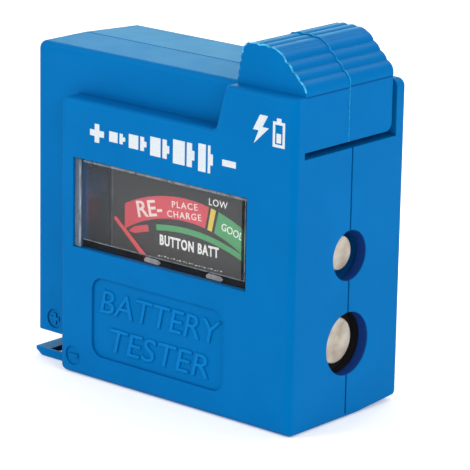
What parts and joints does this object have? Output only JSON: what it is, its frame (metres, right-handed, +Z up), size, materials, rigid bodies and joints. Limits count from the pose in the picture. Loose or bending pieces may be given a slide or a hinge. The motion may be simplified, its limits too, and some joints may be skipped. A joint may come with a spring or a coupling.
{
  "type": "battery tester",
  "caption": "Pocket battery tester with an analogue meter behind a window, a sliding ribbed battery arm, snap-terminal sockets and a coin-cell slot.",
  "frame": {"origin": "on the flat base, on the parting plane of the two case halves, 25.2 mm left of the right side", "axes": "+X to the right, the side with the snap sockets, where the slide pulls out; +Y to the rear; +Z up; the meter window faces -Y"},
  "size_m": [0.0512, 0.0239, 0.0535],
  "materials": {
    "case_blue": "satin moulded ABS, saturated blue",
    "slide_blue": "satin moulded ABS, the same blue as the case",
    "rail_blue": "satin moulded ABS",
    "clear_cover": "clear polystyrene, polished",
    "black_plastic": "black moulded plastic",
    "dial_print": "dark grey printed plate with coloured bands",
    "screw_steel": "bright zinc plated",
    "soft_iron": "plated soft iron",
    "magnet": "sintered magnet, ground",
    "brass": "turned brass",
    "coil_copper": "varnished copper winding on a thin aluminium former",
    "pivot_steel": "hardened polished steel",
    "pointer_red": "red lacquered needle",
    "spring_bronze": "phosphor bronze strip",
    "board": "brown phenolic board",
    "resistor_body": "coated film resistor",
    "nickel": "nickel plated contact metal",
    "wire_red": "red insulated wire",
    "wire_black": "black insulated wire"
  },
  "bodies": {
    "case": {"bridge_screws": "screw_steel", "button_minus": "nickel", "case_screw_1": "screw_steel", "case_screw_2": "screw_steel", "case_screw_3": "screw_steel", "cell_contact": "nickel", "circuit_board": "board", "core_clip": "brass", "core_magnet": "magnet", "dial_plate": "dial_print", "dial_screws": "screw_steel", "front_bridge": "brass", "front_case": "case_blue", "front_jewel": "brass", "hairspring": "spring_bronze", "large_terminal": "nickel", "meter_base": "black_plastic", "meter_cover": "clear_cover", "rear_case": "case_blue", "rear_jewel": "brass", "resistor_9v": "resistor_body", "resistor_button": "resistor_body", "resistor_cell": "resistor_body", "slide_wiper": "nickel", "small_terminal": "nickel", "wire_button": "wire_red", "wire_cell": "wire_red", "wire_wiper": "wire_black", "yoke_ring": "soft_iron"},
    "slide": {"slide_front": "slide_blue", "slide_rear": "slide_blue", "slide_rail": "rail_blue", "slide_contact": "nickel"},
    "movement": {"pointer": "pointer_red", "coil_frame": "coil_copper", "pivot_shaft": "pivot_steel"},
    "cell_spring": {"button_plus": "nickel"}
  },
  "joints": [
    {"name": "slide_pull", "type": "slide", "parent": "case", "child": "slide", "axis": [1, 0, 0], "range_m": [0, 0.031]},
    {"name": "pointer_swing", "type": "hinge", "parent": "case", "child": "movement", "pos_m": [0.0003, -0.002, 0.0112], "axis": [0, 1, 0], "range_deg": [0, 102]},
    {"name": "cell_spring_lift", "type": "hinge", "parent": "case", "child": "cell_spring", "pos_m": [-0.0241, 0, 0.0059], "axis": [0, 1, 0], "range_deg": [-8, 0]}
  ]
}
